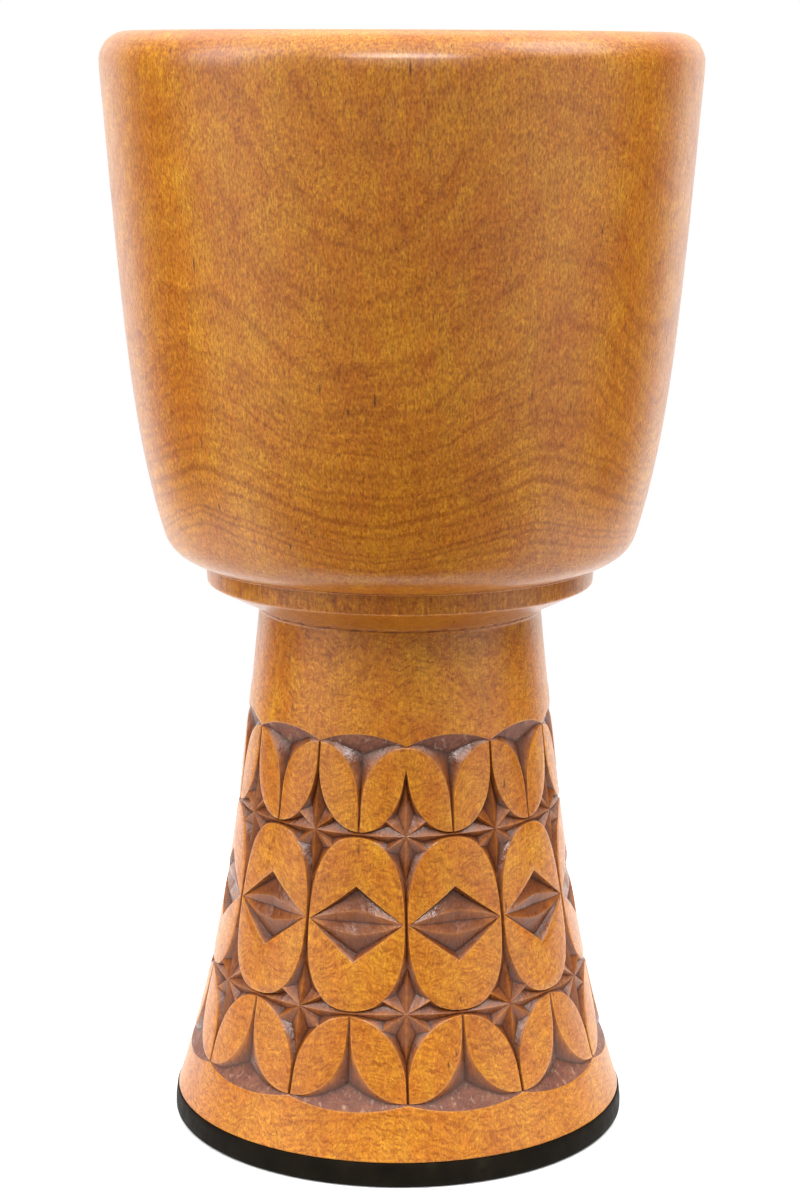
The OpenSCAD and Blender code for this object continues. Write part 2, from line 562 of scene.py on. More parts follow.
def patch_rows(kind, p, q):
    """One column of a patch from p to q: (point, edge mark, valley mark)."""
    if kind == "top":
        rim = min(0.2, WORN_AND_LIT_EDGE / max(surface_length(p, q), 1e-6))
        shares = [0.0] + [rim + (1 - 2 * rim) * i / TOP_STEPS for i in range(TOP_STEPS + 1)] + [1.0]
        column = []
        for k, s in enumerate(shares):
            a, z, _ = mix(p, q, s)
            depth = (p[2] if k == 0 else q[2]) if k in (0, len(shares) - 1) else 0.0
            column.append(((a, z, depth), 1.0 if depth > 0 else 0.0, 0.0))
        return column
    facet = kind == "facet"
    # The edge mark on a patch's first row: the materials paint it paler, partly as rubbing and partly as a
    # painted highlight
    edge_wear_and_highlight = RIDGE_WEAR_AND_HIGHLIGHT if facet else 1.0
    column = []
    for s, fall in FACET_ROWS if facet else WALL_ROWS:
        a, z, _ = mix(p, q, s)
        # The valley mark, where the materials paint shade: rising across a wall, and only on a facet's
        # valley line
        low = min(1.0, q[2]) * (float(s == 1.0) if facet else s)
        column.append(((a, z, p[2] + (q[2] - p[2]) * fall), edge_wear_and_highlight if s == 0.0 else 0.0, low))
    return column


def carved_point(turn, z, depth):
    """A point of the band, with the small unevenness of work done by hand."""
    hold = min(1.0, (BAND_TOP - z) / 8, (z - BAND_LOW) / 8)
    place = Vector((math.sin(math.radians(turn)), math.cos(math.radians(turn)), z / 90)) * 2.3
    sway = noise.noise_vector(place + Vector((7.1, 3.3, 1.9)))
    turn = turn + HAND_TURN * hold * sway.x
    z = z + HAND_RISE * hold * sway.y
    depth = depth * (1 + HAND_DEPTH * hold * sway.z)
    fine = noise.noise(place * 9) * HAND_FINE * min(1.0, depth / 2)
    return around(foot_side_r(z) - depth - fine, turn, z)


def add_band(build):
    """All repeats of the carving. Each half is mirrored about the star's axis."""
    for unit in range(REPEATS):
        turn = PHASE + 2 * HALF * unit
        sections = [(patch, 1) for patch in oval_half()] + [(patch, -1) for patch in oval_half()]
        sections += [(patch, 1) for patch in leaf_half(UPPER, closed_tip=unit == 0)]
        sections += [(patch, -1) for patch in leaf_half(LOWER, closed_tip=False)]
        for (kind, first, second), sign in sections:
            for mirror in (1, -1):
                rows = []
                for p, q in zip(first, second):
                    row = []
                    for (a, z, depth), worn_and_lit, low in patch_rows(kind, p, q):
                        co = carved_point(turn + mirror * a, BAND_MID + sign * z, depth)
                        row.append(build.add(co, depth=depth, edge=worn_and_lit, valley=low))
                    rows.append(row)
                build.grid(rows, FINISHES[kind])


# ---------------------------------------- the turned wood

# How uneven the turned surface is, how far the scored line wanders, and how dark the painted shade in it is
UNEVEN = 0.22
SCORE_WANDER = 0.5
SCORE_SHADE = 3.4
# The gouge's scoops inside
SCOOP_H = 21.0
SCOOPS_ROUND = 34
SCOOP_DEPTH = 0.55
SCOOP_CHANGE = 0.35


def unscored(points):
    """Points of the profile with no score in them: (radius, height, 0)."""
    return [(r, z, 0.0) for r, z in points]


def outside_points():
    """Profile from the band's upper edge to the rim's top: (radius, height, how strongly the scored line
    gets painted shade).
    """
    points = unscored(side(foot_side_r, BAND_TOP, NECK_TOP - NECK_COVE, 14))
    # A cove, and a thin scored line darkened in broken dashes of painted shade, where the collar's sloping
    # underside meets the neck
    low = (COLLAR_R - COLLAR_INSET - COLLAR_BEVEL, COLLAR_LOW)
    reach = NECK_COVE / math.dist(low, (NECK_R, NECK_TOP))
    upper = mix((NECK_R, NECK_TOP), low, reach)
    lower = points[-1][:2]
    cove = cubic(lower, mix(lower, (NECK_R, NECK_TOP), 0.6), mix(upper, (NECK_R, NECK_TOP), 0.6), upper, 8)
    points += unscored(cove[1:4])
    points += [(cove[4][0] - 0.25, cove[4][1] + 0.25, 1.0), (*cove[5], 0.4)]
    points += unscored(cove[6:])
    points += unscored(mix(upper, low, s) for s in (0.2, 0.5, 0.8, 0.96))
    # The collar: a worn arris, an upright face, and the bowl's thin lip standing out over it
    face_low = (COLLAR_R - COLLAR_INSET, COLLAR_LOW + COLLAR_BEVEL)
    face_top = (COLLAR_R, COLLAR_TOP)
    arris = cubic(low, mix(low, face_low, 0.7), face_low, mix(face_low, face_top, 0.06), 4)
    points += unscored(arris)
    points += unscored(mix(face_low, face_top, s) for s in (0.3, 0.65, 0.95))
    points += unscored([(COLLAR_R - 0.1, COLLAR_TOP), (COLLAR_R + 0.3, COLLAR_TOP + 0.04)])
    points += unscored(arc(COLLAR_R + LIP_OUT - LIP_ROUND, COLLAR_TOP + LIP_ROUND, LIP_ROUND, -90, 20, 5))
    shoulder_r = bowl_r(SHOULDER)
    floor = cubic(
        (COLLAR_R + LIP_OUT, LIP_H),
        (COLLAR_R + LIP_OUT + 13, LIP_H + 4.2),
        (shoulder_r - 1.8, SHOULDER - 5.8),
        (shoulder_r, SHOULDER),
        18,
    )
    points += unscored(floor[1:])
    points += unscored(side(bowl_r, SHOULDER + 4, RIM_SIDE - 3, 36))
    points += unscored(arc(RIM_R - RIM_ROUND, RIM_SIDE, RIM_ROUND, 8, 90, 16))
    return points


def inside_points():
    """Profile from the rim's top down through the hollow, to just over the foot's lower edge."""
    inner_r = bowl_hollow_r(RIM_SIDE)
    points = arc(inner_r + RIM_INNER_ROUND, TOP - RIM_INNER_ROUND, RIM_INNER_ROUND, 90, 180, 6)
    points += side(bowl_hollow_r, RIM_SIDE - 2, HOLLOW_SHOULDER + 3, 44)
    shoulder_r = bowl_hollow_r(HOLLOW_SHOULDER)
    points += cubic(
        (shoulder_r, HOLLOW_SHOULDER),
        (shoulder_r - 8, HOLLOW_SHOULDER - 28),
        (THROAT_R + 14, THROAT_TOP + 20),
        (THROAT_R, THROAT_TOP),
        18,
    )
    points += [(THROAT_R, THROAT_TOP - 10), (THROAT_R, THROAT_TOP - 20)]
    points += side(foot_hollow_side_r, THROAT_LOW, FOOT_RING_H + 1.5, 36)
    return points


def edge_points():
    """Profile of the foot's flat lower edge, and up to the band's lower edge."""
    points = [(FOOT_HOLLOW_R - 0.4, FOOT_RING_H + 0.4), (FOOT_HOLLOW_R + 0.4, FOOT_RING_H)]
    points += [(FOOT_R - FOOT_ARRIS - 1, FOOT_RING_H), (FOOT_R - FOOT_ARRIS, FOOT_RING_H + 0.03)]
    points += [(FOOT_R - 0.45, FOOT_RING_H + 0.35), (foot_side_r(FOOT_RING_H + 1), FOOT_RING_H + FOOT_ARRIS)]
    points += side(foot_side_r, FOOT_RING_H + 2.5, BAND_LOW, 5)
    return points


def tool_mark(turn, z):
    """How far a gouge cut reaches into the hollow's wall: rows of shallow scoops, each row offset."""
    row = z / SCOOP_H
    sway = noise.noise(Vector((math.sin(math.radians(turn)) * 3, math.cos(math.radians(turn)) * 3, z / 60)))
    row = row + 0.35 * sway
    number = math.floor(row)
    place = turn / 360 * SCOOPS_ROUND + 0.5 * (number % 2)
    across = (place + 0.3 * sway) % 1 - 0.5
    up = row - number - 0.5
    change = noise.noise(Vector((number * 1.7, math.floor(place) * 2.3, 4.0)))
    return (SCOOP_DEPTH + SCOOP_CHANGE * change) * (1 - 3.2 * across * across) * (1 - 1.6 * up * up)


def add_turned(build):
    """The plain stretches: rings of points at the band's own columns."""
    step = HALF / COLUMNS
    turns = [PHASE + step * i for i in range(2 * COLUMNS * REPEATS)]
    rings = []
    for r, z, cut in outside_points():
        ring = []
        for turn in turns:
            place = Vector((math.sin(math.radians(turn)), -math.cos(math.radians(turn)), z / 160))
            level = Vector((place.x, place.y, 0))
            uneven = UNEVEN * (noise.noise(place * 2.1) - 1) if BAND_TOP + 4 < z < TOP - 6 else 0.0
            wander = SCORE_WANDER * noise.noise(level * 5.5) if abs(z - NECK_TOP) < 3 else 0.0
            # Broken dark dashes of painted shade along the scored line, which the stained material darkens
            # through the depth mark
            broken = max(0.0, 0.3 + 2.4 * noise.noise(Vector((place.x, place.y, 0.7)) * 14))
            mark = SCORE_SHADE * cut * min(1.0, broken)
            ring.append(build.add(around(r + uneven, turn, z + wander), depth=mark))
        rings.append((ring, cut > 0))
    for r, z in inside_points():
        marked = min(1.0, max(0.0, (TOP - 9 - z) / 20)) * min(1.0, (z - FOOT_RING_H) / 10)
        ring = []
        for turn in turns:
            ring.append(build.add(around(r + tool_mark(turn, z) * marked, turn, z), inside=marked))
        rings.append((ring, False))
    for r, z in edge_points():
        rings.append(([build.add(around(r, turn, z)) for turn in turns], False))
    for (low, low_cut), (high, high_cut) in zip(rings, rings[1:]):
        build.grid([low, high], STAINED if low_cut or high_cut else POLISHED, closed=True)


def make_mesh(build, name, crease_degrees):
    """Welds the collected quads into one object, with its marks as mesh attributes."""
    mesh = bpy.data.meshes.new(name)
    bm = bmesh.new()
    layers = [bm.verts.layers.float.new(key) for key in ("depth", "edge", "valley", "inside")]
    verts = [bm.verts.new(co) for co in build.points]
    for v, marks in zip(verts, build.marks):
        for layer, value in zip(layers, marks):
            v[layer] = value
    for corners, finish in zip(build.faces, build.finishes):
        face = bm.faces.new([verts[i] for i in corners])
        face.material_index = finish
        face.smooth = True
    bmesh.ops.remove_doubles(bm, verts=bm.verts, dist=0.00001)
    bmesh.ops.dissolve_degenerate(bm, edges=bm.edges, dist=0.000005)
    bmesh.ops.recalc_face_normals(bm, faces=bm.faces)
    limit = math.radians(crease_degrees)
    for e in bm.edges:
        e.smooth = len(e.link_faces) == 2 and e.calc_face_angle(0.0) < limit
    bm.to_mesh(mesh)
    bm.free()
    obj = bpy.data.objects.new(name, mesh)
    bpy.context.scene.collection.objects.link(obj)
    return obj


# ---------------------------------------- materials


class Nodes:
    """Short names for adding and joining the nodes of a material or of the world."""

    def __init__(self, owner):
        self.owner = owner
        owner.use_nodes = True
        self.tree = owner.node_tree
        # A world has no such shader
        self.shader = self.tree.nodes.get("Principled BSDF")

    def add(self, kind, **settings):
        """A new node, with its settings."""
        node = self.tree.nodes.new(kind)
        for key, value in settings.items():
            setattr(node, key, value)
        return node

    def join(self, source, target):
        self.tree.links.new(source, target)

    def place(self, scale=(1, 1, 1), shift=(0, 0, 0)):
        """Object coordinates, stretched by scale."""
        coordinates = self.add("ShaderNodeTexCoord")
        mapping = self.add("ShaderNodeMapping")
        mapping.inputs["Scale"].default_value = scale
        mapping.inputs["Location"].default_value = shift
        self.join(coordinates.outputs["Object"], mapping.inputs["Vector"])
        return mapping.outputs["Vector"]

    def split(self, vector):
        """A vector's outputs X, Y and Z."""
        node = self.add("ShaderNodeSeparateXYZ")
        self.join(vector, node.inputs[0])
        return node.outputs

    def noise(self, vector, scale, detail=3.0, roughness=0.5, distortion=0.0):
        node = self.add("ShaderNodeTexNoise")
        node.inputs["Scale"].default_value = scale
        node.inputs["Detail"].default_value = detail
        node.inputs["Roughness"].default_value = roughness
        node.inputs["Distortion"].default_value = distortion
        self.join(vector, node.inputs["Vector"])
        return node.outputs["Fac"]

    def ramp(self, value, stops):
        """A colour ramp; stops are (position, colour)."""
        node = self.add("ShaderNodeValToRGB")
        ramp = node.color_ramp
        while len(ramp.elements) < len(stops):
            ramp.elements.new(0.5)
        for element, (position, colour) in zip(ramp.elements, stops):
            element.position = position
            element.color = (*colour, 1)
        self.join(value, node.inputs["Fac"])
        return node.outputs["Color"]

    def tone(self, value, reach, dark, pale):
        """A factor for a colour: dark at 0.5 less reach, 1 at 0.5, and pale at 0.5 plus reach."""
        return self.ramp(value, [(0.5 - reach, dark), (0.5, (1.0, 1.0, 1.0)), (0.5 + reach, pale)])

    def spread(self, value, low, high, to_low=0.0, to_high=1.0):
        """A value that goes from to_low to to_high while the given one goes from low to high."""
        node = self.add("ShaderNodeMapRange")
        for key, number in zip(("From Min", "From Max", "To Min", "To Max"), (low, high, to_low, to_high)):
            node.inputs[key].default_value = number
        self.join(value, node.inputs["Value"])
        return node.outputs["Result"]

    def blend(self, factor, a, b, kind="MIX"):
        """Mixes two colours; a factor, a or b may be a socket or a value."""
        node = self.add("ShaderNodeMix", data_type="RGBA", blend_type=kind)
        for key, value in ((0, factor), (6, a), (7, b)):
            if isinstance(value, (int, float)):
                node.inputs[key].default_value = value
            elif isinstance(value, tuple):
                node.inputs[key].default_value = (*value, 1)
            else:
                self.join(value, node.inputs[key])
        return node.outputs[2]

    def calc(self, kind, a, b=0.0):
        """A sum with a and b, which may be sockets or values."""
        node = self.add("ShaderNodeMath", operation=kind)
        for key, value in enumerate((a, b)):
            if isinstance(value, (int, float)):
                node.inputs[key].default_value = value
            else:
                self.join(value, node.inputs[key])
        return node.outputs["Value"]

    def times(self, a, b):
        return self.calc("MULTIPLY", a, b)

    def plus(self, a, b):
        return self.calc("ADD", a, b)

    def mark(self, name):
        """One of the marks that the Builder keeps with its points."""
        return self.add("ShaderNodeAttribute", attribute_name=name).outputs["Fac"]

    def bump(self, height, distance, strength=1.0, under=None):
        node = self.add("ShaderNodeBump")
        node.inputs["Strength"].default_value = strength
        node.inputs["Distance"].default_value = distance
        self.join(height, node.inputs["Height"])
        if under is not None:
            self.join(under, node.inputs["Normal"])
        return node.outputs["Normal"]


def new_material(name):
    return Nodes(bpy.data.materials.new(name))


# Waves in a growth ring on its way round the log, and lines or ripples to a metre
RING_WAVES = 5.0
RING_LINES = 1150.0
RIPPLE_LINES = 880.0


def growth_rings(n):
    """The log's growth rings, wavy round its axis, where the turned surface cuts them."""
    place = n.split(n.place())
    turn = n.calc("ARCTAN2", place["X"], n.times(place["Y"], -1.0))
    wave = n.calc("COSINE", n.plus(n.times(turn, RING_WAVES), 3.35))
    flat = n.add("ShaderNodeVectorMath", operation="LENGTH")
    n.join(n.place((1, 1, 0)), flat.inputs[0])
    slow = n.noise(n.place((1, 1, 0.5), (0.2, 0.1, 0.4)), 9.0, detail=1.5)
    small = n.noise(n.place((1, 1, 0.7), (0.5, 0.3, 0.2)), 45.0, detail=4.0)
    reach = n.plus(flat.outputs["Value"], n.times(wave, -0.0022))
    reach = n.plus(reach, n.times(slow, 0.012))
    reach = n.plus(reach, n.times(small, 0.0018))
    lines = n.add("ShaderNodeTexNoise", noise_dimensions="1D")
    lines.inputs["Scale"].default_value = RING_LINES
    lines.inputs["Detail"].default_value = 2.0
    n.join(reach, lines.inputs["W"])
    return lines.outputs["Fac"]


def ripples(n):
    """Fine zigzag figure about a millimetre apart, running round the turned surface."""
    place = n.split(n.place())
    zigzag = n.noise(n.place((1, 1, 0.2), (0.4, 0.1, 0.8)), 250.0, detail=1.0)
    drift = n.noise(n.place((1, 1, 0.6), (0.1, 0.6, 0.2)), 20.0, detail=2.0)
    height = n.plus(place["Z"], n.times(zigzag, 0.006))
    height = n.plus(height, n.times(drift, 0.04))
    flattened = n.add("ShaderNodeCombineXYZ")
    for axis in ("X", "Y"):
        n.join(n.times(place[axis], 0.25), flattened.inputs[axis])
    n.join(height, flattened.inputs["Z"])
    return n.noise(flattened.outputs["Vector"], RIPPLE_LINES, detail=1.5)


def cells(n, vector, scale, near, far):
    """Small marks, one in each cell of a scattered grid: 1 within near of a cell's point, 0 beyond far."""
    node = n.add("ShaderNodeTexVoronoi", feature="F1")
    node.inputs["Scale"].default_value = scale
    n.join(vector, node.inputs["Vector"])
    return n.spread(node.outputs["Distance"], near, far, 1.0, 0.0)


def wood_material():
    """Oiled orange-brown hardwood: growth rings cut by the turning, ripples, fibres and pores; painted shade
    under the collar and a painted highlight on the arrises.
    """
    n = new_material("oiled_hardwood")
    solid = n.place()
    height = n.split(solid)["Z"]
    on_foot = n.spread(height, (NECK_TOP - 1) * MM, (SHOULDER + 26) * MM, 1.0, 0.0)
    fibre = n.noise(n.place((1, 1, 0.42)), 1050.0, detail=2.0, roughness=0.6)
    strand = n.noise(n.place((1, 1, 0.22), (0.3, 0.1, 0.0)), 480.0, detail=2.0, roughness=0.55)

    # Mottling in redder and yellower brown, with ragged borders along the fibres
    cloud = n.noise(n.place((1, 1, 0.7), (3.1, 0.7, 0.2)), 30.0, detail=5.0, roughness=0.62, distortion=0.6)
    ragged = n.plus(cloud, n.times(n.calc("SUBTRACT", strand, 0.5), 0.6))
    base = n.ramp(
        ragged,
        [
            (0.26, (0.39, 0.111, 0.0065)),
            (0.45, (0.44, 0.142, 0.0075)),
            (0.58, (0.48, 0.17, 0.0085)),
            (0.74, (0.53, 0.21, 0.01)),
        ],
    )
    patch = n.noise(n.place((1, 1, 0.5), (0.6, 0.4, 1.3)), 105.0, detail=1.5)
    base = n.blend(1.0, base, n.tone(patch, 0.18, (1.01, 0.95, 0.92), (0.99, 1.04, 1.04)), "MULTIPLY")
    red = n.spread(n.noise(n.place((1, 1, 0.35), (0.9, 2.0, 0.1)), 12.0, detail=3.0), 0.5, 0.7)
    base = n.blend(n.times(red, 0.35), base, (0.9, 0.78, 0.8), "MULTIPLY")
    ring_tone = n.tone(growth_rings(n), 0.2, (0.74, 0.64, 0.55), (1.07, 1.11, 1.14))
    ring_share = n.spread(height, (SHOULDER + 46) * MM, (TOP - 60) * MM, 0.85, 0.35)
    ring_share = n.times(ring_share, n.calc("SUBTRACT", 1.0, n.times(on_foot, 0.45)))
    base = n.blend(ring_share, base, ring_tone, "MULTIPLY")
    ripple_tone = n.tone(ripples(n), 0.2, (0.7, 0.58, 0.48), (1.17, 1.27, 1.37))
    patches = n.spread(n.noise(solid, 28.0, detail=2.0), 0.38, 0.66, 0.15, 0.7)
    base = n.blend(n.calc("MAXIMUM", patches, on_foot), base, ripple_tone, "MULTIPLY")
    fibre_tone = n.tone(fibre, 0.26, (0.54, 0.39, 0.3), (1.4, 1.65, 1.9))
    base = n.blend(n.calc("SUBTRACT", 1.0, n.times(on_foot, 0.35)), base, fibre_tone, "MULTIPLY")

    # Pores: short dark dashes along the grain, and a few long near-black ones
    pore = cells(n, n.place((1, 1, 0.24)), 760.0, 0.12, 0.34)
    patchy = n.spread(n.noise(solid, 90.0, detail=2.0), 0.4, 0.62)
    pore = n.times(pore, patchy)
    base = n.blend(n.times(pore, 0.6), base, (0.13, 0.032, 0.006))
    rare = n.spread(n.noise(n.place(shift=(0.4, 1.2, 0.9)), 14.0, detail=1.0), 0.45, 0.5)
    fleck = n.times(cells(n, n.place((1, 1, 0.13)), 110.0, 0.03, 0.08), rare)
    base = n.blend(n.times(fleck, 0.85), base, (0.04, 0.014, 0.007))

    # The collar's upright face shows the fibres end on, as ragged upright streaks
    streak = n.noise(n.place((1, 1, 0.14), (0.2, 0.5, 0.1)), 560.0, detail=3.0, roughness=0.6)
    over_arris = n.spread(height, (COLLAR_LOW - 0.3) * MM, (COLLAR_LOW + 0.8) * MM)
    under_lip = n.spread(height, (COLLAR_TOP + 0.4) * MM, LIP_H * MM, 0.85, 0.0)
    on_face = n.times(over_arris, under_lip)
    streak_tone = n.tone(streak, 0.2, (0.66, 0.52, 0.42), (1.2, 1.3, 1.5))
    base = n.blend(on_face, base, streak_tone, "MULTIPLY")

    # The collar's underside is painted darker and a little bluer: painted shade under the collar's overhang
    over_neck = n.spread(height, (NECK_TOP - 0.5) * MM, (NECK_TOP + 1.5) * MM)
    under_arris = n.spread(height, (COLLAR_LOW - 1) * MM, COLLAR_LOW * MM, 1.0, 0.0)
    under = n.times(over_neck, under_arris)
    base = n.blend(under, base, (0.78, 0.76, 0.85), "MULTIPLY")

    # Arrises beside the carving are paler, partly rubbed and partly a painted highlight, and the hollow is
    # duller
    edge = n.calc("POWER", n.mark("edge"), 2.0)
    colour = n.blend(n.times(edge, 0.35), base, (0.6, 0.27, 0.045))
    inside = n.mark("inside")
    colour = n.blend(inside, colour, (0.8, 0.72, 0.7), "MULTIPLY")
    n.join(colour, n.shader.inputs["Base Color"])

    rough = n.spread(n.noise(n.place((1, 1, 0.3)), 260.0, detail=3.0), 0.3, 0.7, 0.27, 0.36)
    n.join(n.plus(rough, n.times(inside, 0.25)), n.shader.inputs["Roughness"])
    n.shader.inputs["IOR"].default_value = 1.5
    grain = n.plus(n.times(fibre, 0.5), n.times(pore, -0.7))
    grain = n.plus(grain, n.times(fleck, -1.5))
    n.join(n.bump(grain, 0.00008, 0.5), n.shader.inputs["Normal"])
    return n.owner


def stained_material():
    """Cut facets, as the knife left them: darker deeper in, partly staining and partly painted shade,
    with painted shade in the valleys and paler ridges, partly rubbed and partly a painted highlight.
    """
    n = new_material("stained_shaded_cuts")
    solid = n.place()
    fibre = n.noise(n.place((1, 1, 0.3)), 800.0, detail=2.0, roughness=0.6)
    blotch = n.noise(solid, 130.0, detail=4.0, roughness=0.65)
    # Darker the deeper the cut, and blotchy: partly staining, partly painted shade in the recesses
    stain_and_shade_depth = n.plus(n.mark("depth"), n.spread(blotch, 0.3, 0.7, -1.1, 1.1))
    cut_colour = n.ramp(
        n.spread(stain_and_shade_depth, 0.0, 4.8),
        [
            (0.0, (0.32, 0.096, 0.009)),
            (0.2, (0.23, 0.063, 0.008)),
            (0.55, (0.155, 0.04, 0.008)),
            (1.0, (0.12, 0.033, 0.01)),
        ],
    )
    cut_colour = n.blend(0.8, cut_colour, n.tone(fibre, 0.24, (0.7, 0.6, 0.55), (1.25, 1.35, 1.4)), "MULTIPLY")
    # Painted shade: walls darken towards the bottom of each cut, and a near-black line is painted along the
    # valley
    valley = n.mark("valley")
    cut_colour = n.blend(n.times(valley, 0.6), cut_colour, (0.1, 0.023, 0.005))
    cut_colour = n.blend(n.times(n.calc("POWER", valley, 3.5), 0.88), cut_colour, (0.034, 0.009, 0.003))
    # Ridges and arrises paler: partly rubbed, partly a painted highlight
    edge = n.calc("POWER", n.mark("edge"), 2.0)
    cut_colour = n.blend(n.times(edge, 0.45), cut_colour, (0.56, 0.23, 0.04))
    n.join(cut_colour, n.shader.inputs["Base Color"])
    n.join(n.spread(blotch, 0.3, 0.7, 0.42, 0.2), n.shader.inputs["Roughness"])
    n.shader.inputs["Specular IOR Level"].default_value = 0.38
    knife = n.noise(n.place((1, 1, 0.6)), 260.0, detail=3.0, roughness=0.6)
    n.join(n.bump(knife, 0.0007, 0.8), n.shader.inputs["Normal"])
    return n.owner


def rough_material():
    """The chips along the carving's borders: torn end grain with a mauve-brown staining, pale flecks that
    are painted glints, painted shade along each chip's valley, and paler arrises, partly rubbed and partly a
    painted highlight.
    """
    n = new_material("rough_chips")
    solid = n.place()
    torn = n.noise(solid, 420.0, detail=4.0, roughness=0.7)
    blotch = n.noise(solid, 110.0, detail=4.0, roughness=0.6)
    stops = [(0.34, (0.125, 0.036, 0.018)), (0.5, (0.165, 0.05, 0.025)), (0.66, (0.21, 0.075, 0.035))]
    cut_colour = n.ramp(blotch, stops)
    cut_colour = n.blend(0.9, cut_colour, n.tone(torn, 0.2, (0.62, 0.55, 0.5), (1.5, 1.6, 1.7)), "MULTIPLY")
    # Pale flecks: painted glints
    pale = n.spread(n.noise(n.place((1, 1, 0.5), (0.3, 0.8, 0.1)), 400.0, detail=3.0), 0.58, 0.72)
    cut_colour = n.blend(n.times(pale, 0.5), cut_colour, (0.46, 0.32, 0.23))
    # Painted shade: a near-black line along each chip's valley
    valley = n.mark("valley")
    cut_colour = n.blend(n.times(n.calc("POWER", valley, 5.0), 0.85), cut_colour, (0.03, 0.008, 0.003))
    # Paler arrises: partly rubbed, partly a painted highlight
    edge = n.calc("POWER", n.mark("edge"), 3.0)
    cut_colour = n.blend(n.times(edge, 0.35), cut_colour, (0.5, 0.2, 0.04))
    n.join(cut_colour, n.shader.inputs["Base Color"])
    n.join(n.spread(torn, 0.3, 0.7, 0.4, 0.6), n.shader.inputs["Roughness"])
    n.shader.inputs["Specular IOR Level"].default_value = 0.35
    n.join(n.bump(torn, 0.0008, 0.9), n.shader.inputs["Normal"])
    return n.owner


def rubber_material():
    """Satin black rubber, with a little dust and faint scuffs."""
    n = new_material("black_rubber")
    place = n.place()
    dust = n.noise(place, 45.0, detail=5.0, roughness=0.65)
    stops = [(0.35, (0.005, 0.0035, 0.002)), (0.6, (0.009, 0.0065, 0.0035)), (0.8, (0.018, 0.015, 0.009))]
    colour = n.ramp(dust, stops)
    n.join(colour, n.shader.inputs["Base Color"])
    rough = n.spread(n.noise(place, 160.0, detail=4.0), 0.3, 0.7, 0.45, 0.6)
    n.join(rough, n.shader.inputs["Roughness"])
    n.shader.inputs["Specular IOR Level"].default_value = 0.04
    scuffs = n.noise(n.place((1, 1, 5.0)), 130.0, detail=4.0)
    grit = n.noise(place, 1500.0, detail=2.0)
    normal = n.bump(grit, 0.00006, 0.4)
    n.join(n.bump(scuffs, 0.00015, 0.3, normal), n.shader.inputs["Normal"])
    return n.owner


def steel_material():
    """Plain steel tacks, dull and slightly spotted."""
    n = new_material("tack_steel")
    place = n.place()
    spots = n.noise(place, 500.0, detail=4.0, roughness=0.7)
    colour = n.ramp(spots, [(0.35, (0.3, 0.27, 0.24)), (0.55, (0.5, 0.49, 0.47)), (0.8, (0.6, 0.59, 0.57))])
    n.join(colour, n.shader.inputs["Base Color"])
    n.shader.inputs["Metallic"].default_value = 1.0
    n.join(n.spread(spots, 0.3, 0.7, 0.28, 0.5), n.shader.inputs["Roughness"])
    n.join(n.bump(n.noise(place, 1200.0), 0.00005, 0.4), n.shader.inputs["Normal"])
    return n.owner


def floor_material():
    """White card, very slightly uneven."""
    n = new_material("white_table")
    tone = n.ramp(n.noise(n.place(), 3.0), [(0.3, (0.88, 0.88, 0.88)), (0.7, (0.91, 0.91, 0.91))])
    n.join(tone, n.shader.inputs["Base Color"])
    n.shader.inputs["Roughness"].default_value = 0.9
    n.shader.inputs["Specular IOR Level"].default_value = 0.2
    return n.owner


# ---------------------------------------- pieces


def make_shell():
    """The carved wood, whose faces say which of its three materials they have."""
    build = Builder()
    add_band(build)
    add_turned(build)
    shell = make_mesh(build, "carved_shell", 24)
    for material in (wood_material(), stained_material(), rough_material()):
        shell.data.materials.append(material)
    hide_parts("shell")
    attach(shell, "root")


def ring_side(turn):
    """Profile of the rubber ring above its underside, from the underside's outer edge to its inner edge."""
    place = Vector((math.sin(math.radians(turn)), math.cos(math.radians(turn)), 0)) * 3
    slack = 0.12 * (noise.noise(place) - 1)
    points = arc(RING_R - RING_ROUND, RING_ROUND, RING_ROUND, -90, 0, 8)
    points += [(RING_R, 5.0), (RING_R - 0.04, FOOT_RING_H / 2), (RING_R - 0.6, 10.4)]
    points += [(FOOT_R + 0.5, FOOT_RING_H - 0.5), (FOOT_R + 0.25, FOOT_RING_H - 0.12)]
    points += [(FOOT_R - 0.2, FOOT_RING_H)]
    points += [(FOOT_HOLLOW_R + 0.5, FOOT_RING_H), (FOOT_HOLLOW_R, FOOT_RING_H - 0.5)]
    points += [(FOOT_HOLLOW_R, FOOT_RING_H / 2), (FOOT_HOLLOW_R, 0.5), (FOOT_HOLLOW_R + 0.5, 0.0)]
    return [(r + (slack if r > RING_R - 0.5 and z > 2 else 0), z) for r, z in points]


